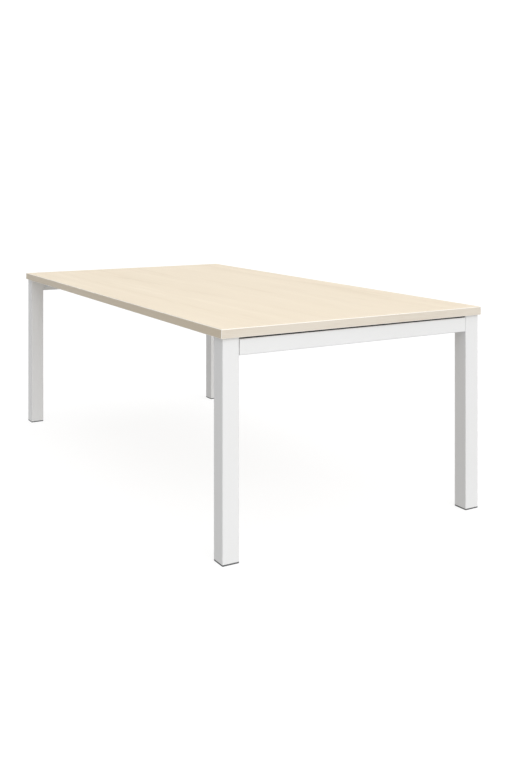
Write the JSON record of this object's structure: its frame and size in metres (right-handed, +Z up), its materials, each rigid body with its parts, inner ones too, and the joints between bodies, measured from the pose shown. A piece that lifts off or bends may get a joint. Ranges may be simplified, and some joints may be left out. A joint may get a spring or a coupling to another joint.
{
  "type": "hall table",
  "caption": "Rectangular hall table: pale maple board with plastic edging on a white square-tube frame, with corner legs, end rails and levelling feet.",
  "frame": {"origin": "on the floor, under the middle of the board", "axes": "+X along the table's length, +Y to its rear, +Z up"},
  "size_m": [2.1, 1.08, 0.74],
  "materials": {
    "maple_melamine": "satin",
    "maple_edging": "satin",
    "white_powder_coat": "matte",
    "white_plastic": "matte",
    "black_plastic": "matte",
    "glide_plastic": "matte",
    "zinc_plated_steel": "satin"
  },
  "bodies": {
    "table_frame": {"top_board": "maple_melamine", "edge_band_left_end": "maple_edging", "edge_band_right_end": "maple_edging", "edge_band_front_side": "maple_edging", "edge_band_rear_side": "maple_edging", "leg_tube_front_left": "white_powder_coat", "leg_tube_front_right": "white_powder_coat", "leg_tube_rear_left": "white_powder_coat", "leg_tube_rear_right": "white_powder_coat", "leg_cap_front_left": "white_plastic", "leg_cap_front_right": "white_plastic", "leg_cap_rear_left": "white_plastic", "leg_cap_rear_right": "white_plastic", "end_rail_left": "white_powder_coat", "end_rail_right": "white_powder_coat", "beam_front": "white_powder_coat", "beam_rear": "white_powder_coat", "corner_bracket_front_left": "white_powder_coat", "corner_bracket_front_right": "white_powder_coat", "corner_bracket_rear_left": "white_powder_coat", "corner_bracket_rear_right": "white_powder_coat", "beam_bracket_front_left": "white_powder_coat", "beam_bracket_front_right": "white_powder_coat", "beam_bracket_rear_left": "white_powder_coat", "beam_bracket_rear_right": "white_powder_coat", "corner_bolts": "zinc_plated_steel", "beam_bolts": "zinc_plated_steel", "corner_rivet_nuts": "zinc_plated_steel", "beam_rivet_nuts": "zinc_plated_steel", "top_screws": "zinc_plated_steel", "gap_strip_left": "black_plastic", "gap_strip_right": "black_plastic", "gap_spacers": "black_plastic", "board_inserts": "zinc_plated_steel", "foot_plug_front_left": "black_plastic", "foot_plug_front_right": "black_plastic", "foot_plug_rear_left": "black_plastic", "foot_plug_rear_right": "black_plastic", "foot_nuts": "zinc_plated_steel"},
    "glide_front_left": {"glide_pad_front_left": "glide_plastic"},
    "stud_front_left": {"levelling_stud_front_left": "zinc_plated_steel"},
    "glide_front_right": {"glide_pad_front_right": "glide_plastic"},
    "stud_front_right": {"levelling_stud_front_right": "zinc_plated_steel"},
    "glide_rear_left": {"glide_pad_rear_left": "glide_plastic"},
    "stud_rear_left": {"levelling_stud_rear_left": "zinc_plated_steel"},
    "glide_rear_right": {"glide_pad_rear_right": "glide_plastic"},
    "stud_rear_right": {"levelling_stud_rear_right": "zinc_plated_steel"}
  },
  "joints": [
    {"name": "foot_height_front_left", "type": "slide", "parent": "table_frame", "child": "glide_front_left", "axis": [0, 0, -1], "range_m": [0, 0.012]},
    {"name": "foot_screw_front_left", "type": "hinge", "parent": "glide_front_left", "child": "stud_front_left", "pos_m": [-1.012, -0.502, 0], "axis": [0, 0, -1], "range_deg": [0, 2880]},
    {"name": "foot_height_front_right", "type": "slide", "parent": "table_frame", "child": "glide_front_right", "axis": [0, 0, -1], "range_m": [0, 0.012]},
    {"name": "foot_screw_front_right", "type": "hinge", "parent": "glide_front_right", "child": "stud_front_right", "pos_m": [1.012, -0.502, 0], "axis": [0, 0, -1], "range_deg": [0, 2880]},
    {"name": "foot_height_rear_left", "type": "slide", "parent": "table_frame", "child": "glide_rear_left", "axis": [0, 0, -1], "range_m": [0, 0.012]},
    {"name": "foot_screw_rear_left", "type": "hinge", "parent": "glide_rear_left", "child": "stud_rear_left", "pos_m": [-1.012, 0.502, 0], "axis": [0, 0, -1], "range_deg": [0, 2880]},
    {"name": "foot_height_rear_right", "type": "slide", "parent": "table_frame", "child": "glide_rear_right", "axis": [0, 0, -1], "range_m": [0, 0.012]},
    {"name": "foot_screw_rear_right", "type": "hinge", "parent": "glide_rear_right", "child": "stud_rear_right", "pos_m": [1.012, 0.502, 0], "axis": [0, 0, -1], "range_deg": [0, 2880]}
  ],
  "couplings": [
    {"joint": "foot_screw_front_left", "follows": "foot_height_front_left", "rad_per_m": 4188.8},
    {"joint": "foot_screw_front_right", "follows": "foot_height_front_right", "rad_per_m": 4188.8},
    {"joint": "foot_screw_rear_left", "follows": "foot_height_rear_left", "rad_per_m": 4188.8},
    {"joint": "foot_screw_rear_right", "follows": "foot_height_rear_right", "rad_per_m": 4188.8}
  ]
}
